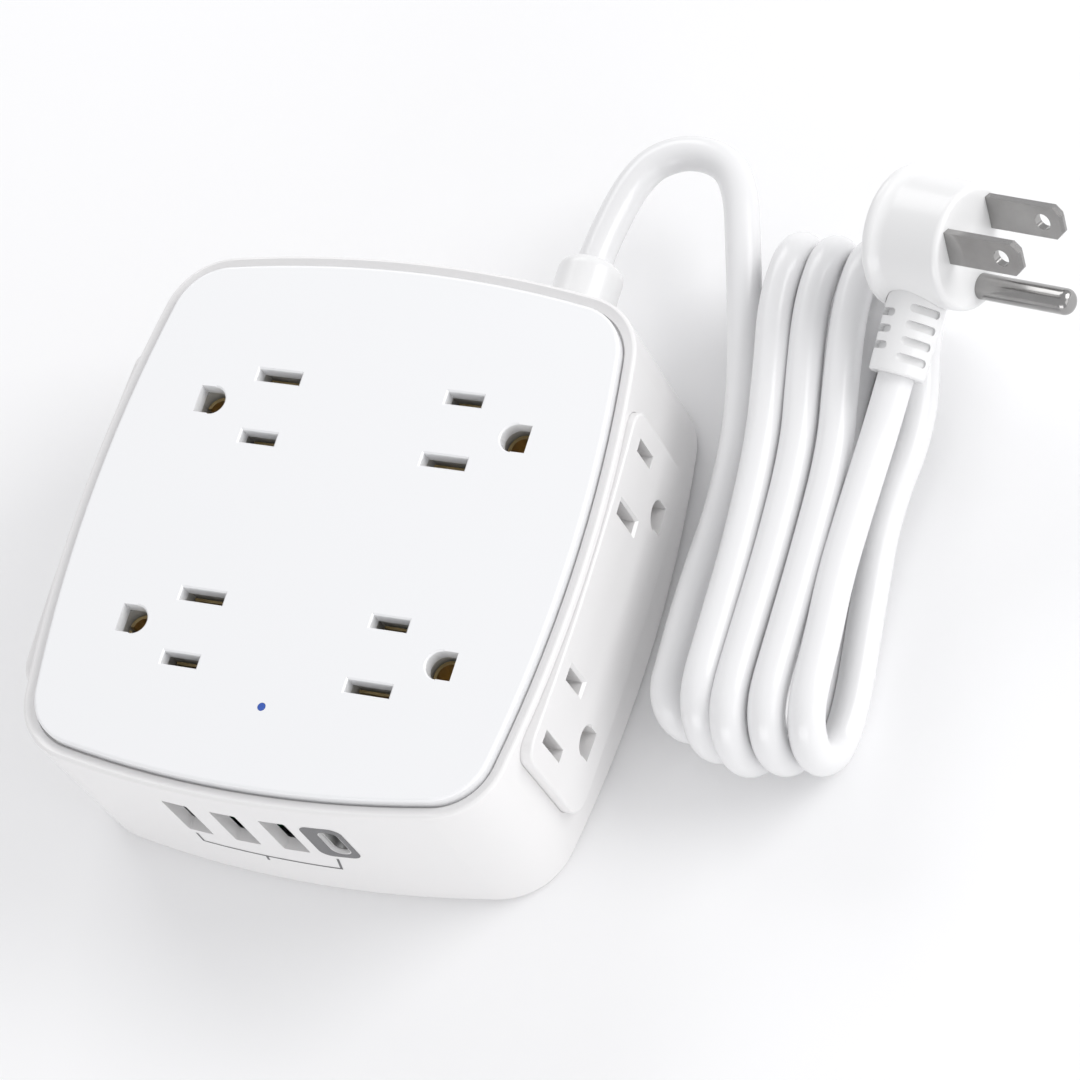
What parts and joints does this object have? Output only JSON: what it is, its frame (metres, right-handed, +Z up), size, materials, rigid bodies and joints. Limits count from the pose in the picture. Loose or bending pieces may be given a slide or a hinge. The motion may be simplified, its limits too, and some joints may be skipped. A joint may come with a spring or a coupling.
{
  "type": "power cube extension",
  "caption": "Rounded white power cube with outlets on the top and sides, USB ports on the front wall, and a mains cord wound into a hank that ends in a flat right-angle plug.",
  "frame": {"origin": "centre of the body's footprint, on the surface it stands on", "axes": "+Z up out of the face plate, +Y towards the wall the cord leaves, -Y the USB wall, +X the side the hank lies on"},
  "size_m": [0.1757, 0.1514, 0.0481],
  "materials": {
    "white_housing": "satin",
    "white_plate": "satin",
    "carrier_plastic": "matte",
    "contact_brass": "satin",
    "zinc_steel": "satin",
    "socket_steel": "satin",
    "tongue_plastic": "matte",
    "circuit_board": "satin",
    "varistor_coating": "gloss",
    "capacitor_sleeve": "gloss",
    "film_box": "gloss",
    "ferrite": "matte",
    "clear_blue": "gloss",
    "white_cord_pvc": "satin",
    "white_soft_plastic": "satin",
    "clamp_plastic": "matte",
    "core_black": "satin",
    "core_green": "satin",
    "core_white": "satin",
    "nickel_prong": "polished"
  },
  "bodies": {
    "root": {"base_cover": "white_housing", "base_screws": "zinc_steel", "charger_transformer": "ferrite", "cord_clamp": "clamp_plastic", "cord_clamp_screws": "zinc_steel", "cord_gland": "white_soft_plastic", "cord_hank": "white_cord_pvc", "cord_in_plug": "white_cord_pvc", "cord_inner": "white_cord_pvc", "cord_lead": "white_cord_pvc", "cord_tail": "white_cord_pvc", "core_ground": "core_green", "core_hot": "core_black", "core_neutral": "core_white", "electrolytic_capacitor_1": "capacitor_sleeve", "electrolytic_capacitor_2": "capacitor_sleeve", "face_plate": "white_plate", "film_capacitor": "film_box", "left_contact_carrier": "carrier_plastic", "left_outlet_panel": "white_housing", "light_pipe": "clear_blue", "plug_body": "white_soft_plastic", "plug_ground_pin": "nickel_prong", "plug_hot_blade": "nickel_prong", "plug_insert": "clamp_plastic", "plug_neutral_blade": "nickel_prong", "plug_strain_relief": "white_soft_plastic", "right_contact_carrier": "carrier_plastic", "right_outlet_panel": "white_housing", "side_left_ground_bus": "contact_brass", "side_left_hot_bus": "contact_brass", "side_left_neutral_bus": "contact_brass", "side_right_ground_bus": "contact_brass", "side_right_hot_bus": "contact_brass", "side_right_neutral_bus": "contact_brass", "status_led": "clear_blue", "surge_board": "circuit_board", "thermal_fuse": "film_box", "top_contact_carrier": "carrier_plastic", "top_left_ground_bus": "contact_brass", "top_left_hot_bus": "contact_brass", "top_left_neutral_bus": "contact_brass", "top_right_ground_bus": "contact_brass", "top_right_hot_bus": "contact_brass", "top_right_neutral_bus": "contact_brass", "upper_shell": "white_housing", "usb_a_shell_1": "socket_steel", "usb_a_shell_2": "socket_steel", "usb_a_shell_3": "socket_steel", "usb_a_tongue_1": "tongue_plastic", "usb_a_tongue_2": "tongue_plastic", "usb_a_tongue_3": "tongue_plastic", "usb_board": "circuit_board", "usb_c_block": "carrier_plastic", "usb_c_shell": "socket_steel", "usb_c_tongue": "tongue_plastic", "varistor_1": "varistor_coating", "varistor_2": "varistor_coating", "varistor_3": "varistor_coating"}
  },
  "joints": []
}
